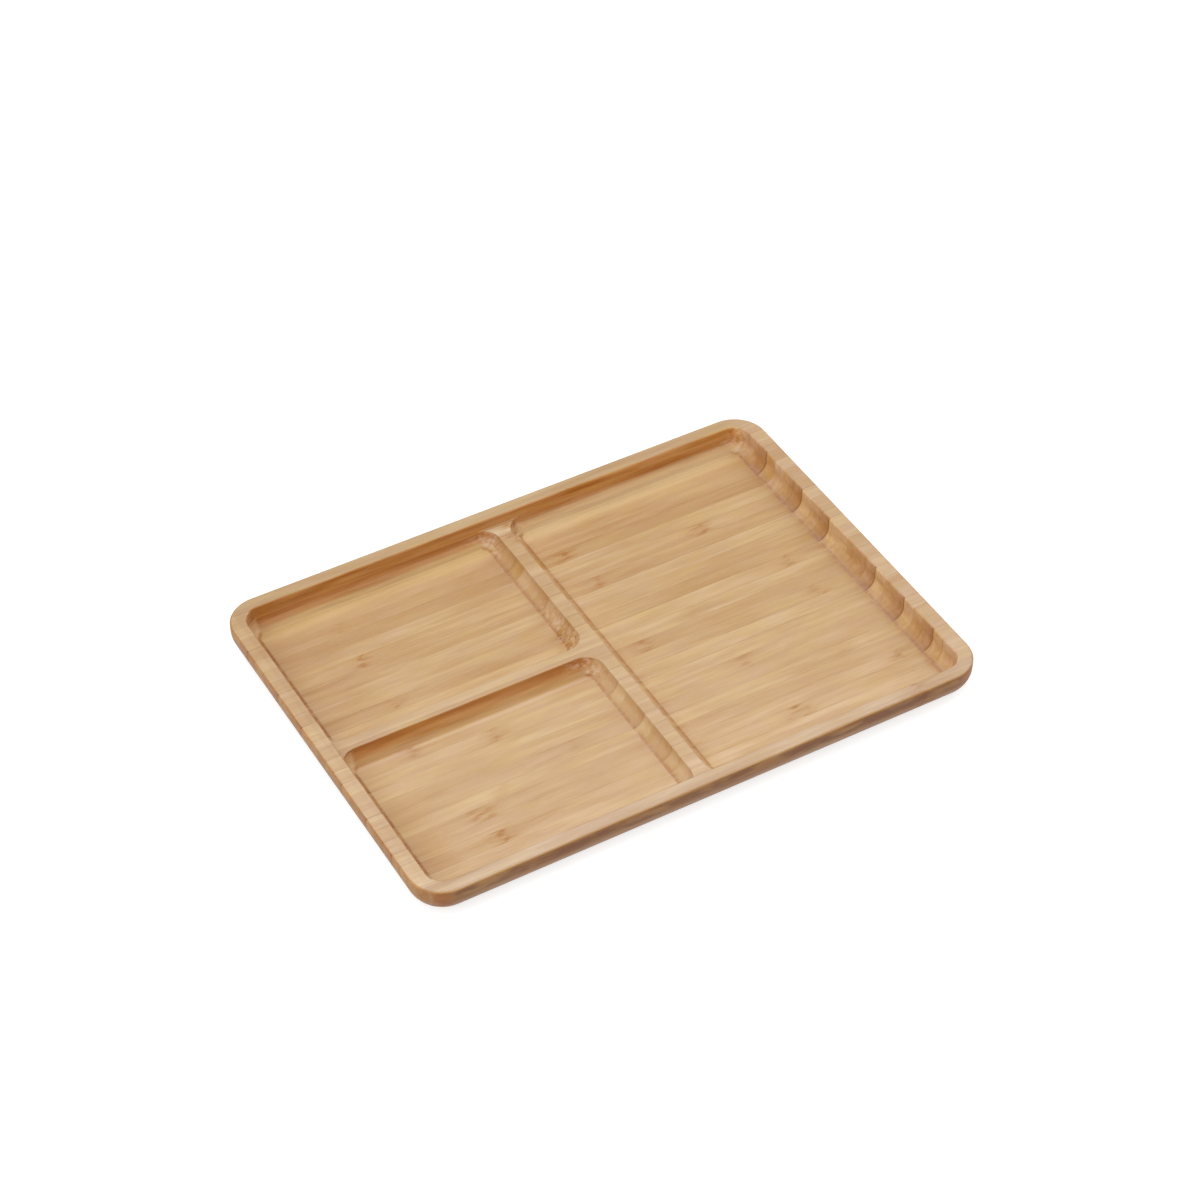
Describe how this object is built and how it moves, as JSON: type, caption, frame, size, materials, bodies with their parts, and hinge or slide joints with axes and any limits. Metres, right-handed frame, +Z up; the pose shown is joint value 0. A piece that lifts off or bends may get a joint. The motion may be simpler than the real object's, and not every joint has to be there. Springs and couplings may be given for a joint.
{
  "type": "divided compartment plate",
  "caption": "Rectangular bamboo plate with a raised rim, rounded corners and coved compartments parted by a long and a short divider, for serving foods side by side.",
  "frame": {"origin": "centre of the flat base, on the plane the plate rests on", "axes": "+X along the length, towards the undivided compartment; +Y across the laths, towards the back; +Z up"},
  "size_m": [0.275, 0.2, 0.016],
  "materials": {
    "bamboo_honey": "satin",
    "bamboo_tan": "satin",
    "bamboo_pale": "satin",
    "bamboo_toasted": "satin"
  },
  "bodies": {
    "root": {"front_rim_strip": "bamboo_pale", "strip_02": "bamboo_pale", "strip_03": "bamboo_pale", "strip_04": "bamboo_honey", "strip_05": "bamboo_honey", "strip_06": "bamboo_tan", "strip_07": "bamboo_pale", "strip_08": "bamboo_honey", "strip_09": "bamboo_honey", "strip_10": "bamboo_pale", "strip_11": "bamboo_pale", "strip_12": "bamboo_honey", "strip_13": "bamboo_tan", "strip_14": "bamboo_pale", "strip_15": "bamboo_pale", "strip_16": "bamboo_tan", "strip_17": "bamboo_honey", "strip_18": "bamboo_pale", "strip_19": "bamboo_tan", "strip_20": "bamboo_honey", "strip_21": "bamboo_pale", "strip_22": "bamboo_toasted", "strip_23": "bamboo_tan", "strip_24": "bamboo_honey", "strip_25": "bamboo_honey", "back_rim_strip": "bamboo_honey"}
  },
  "joints": []
}
